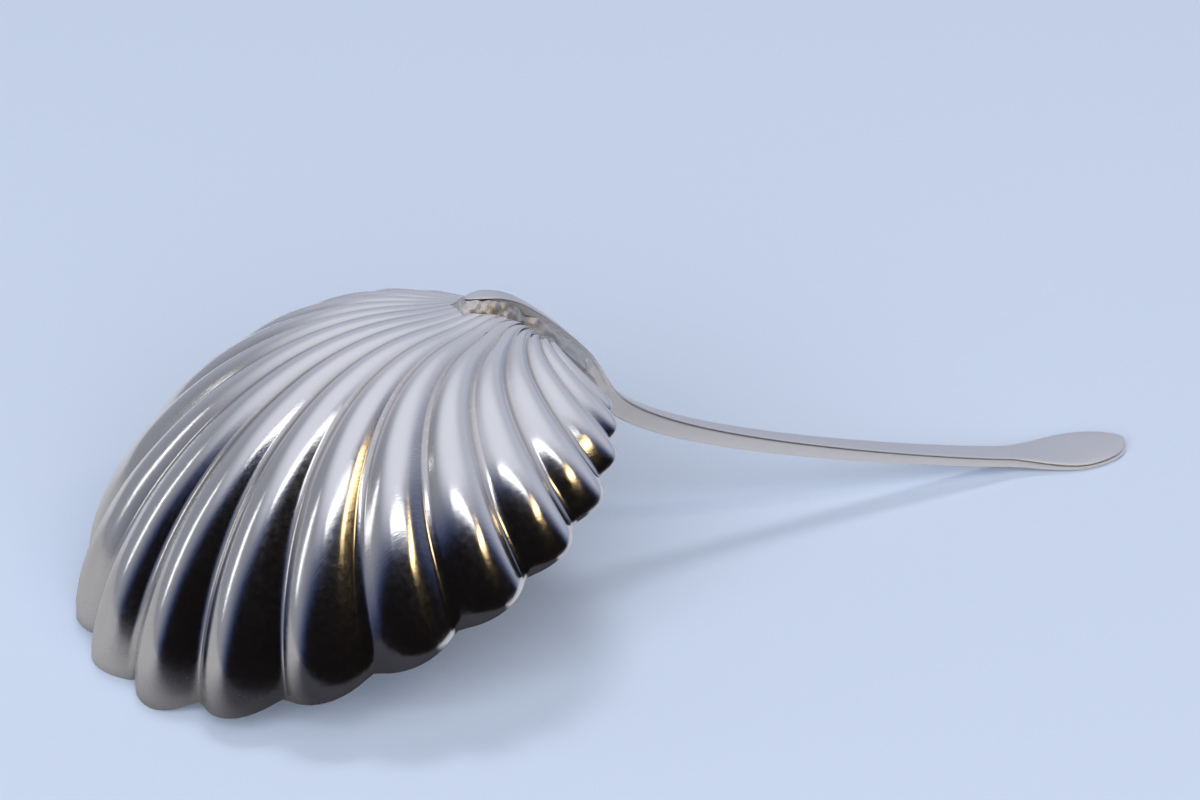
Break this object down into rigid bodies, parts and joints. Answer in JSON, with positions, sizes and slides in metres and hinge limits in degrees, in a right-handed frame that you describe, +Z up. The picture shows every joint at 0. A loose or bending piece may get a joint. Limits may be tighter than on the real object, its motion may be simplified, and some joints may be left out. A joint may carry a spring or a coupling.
{
  "type": "sugar spoon",
  "caption": "Silver sugar spoon with a fluted scallop-shell bowl soldered under a bent, tapering handle that ends in a small rounded paddle; it lies face down.",
  "frame": {"origin": "on the table, under the middle of the spoon's bounding box", "axes": "+X along the spoon from the lip to the handle's end, +Z up from the table with the bowl face down, +Y across the bowl"},
  "size_m": [0.1268, 0.0632, 0.0357],
  "materials": {
    "bowl_silver": "worn polished silver with fine scratches and brown tarnish in the grooves",
    "handle_silver": "worn polished silver with fine scratches",
    "solder": "lumpy satin silver solder with dark specks"
  },
  "bodies": {
    "root": {"shell_bowl": "bowl_silver", "handle": "handle_silver", "solder_seam": "solder"}
  },
  "joints": []
}
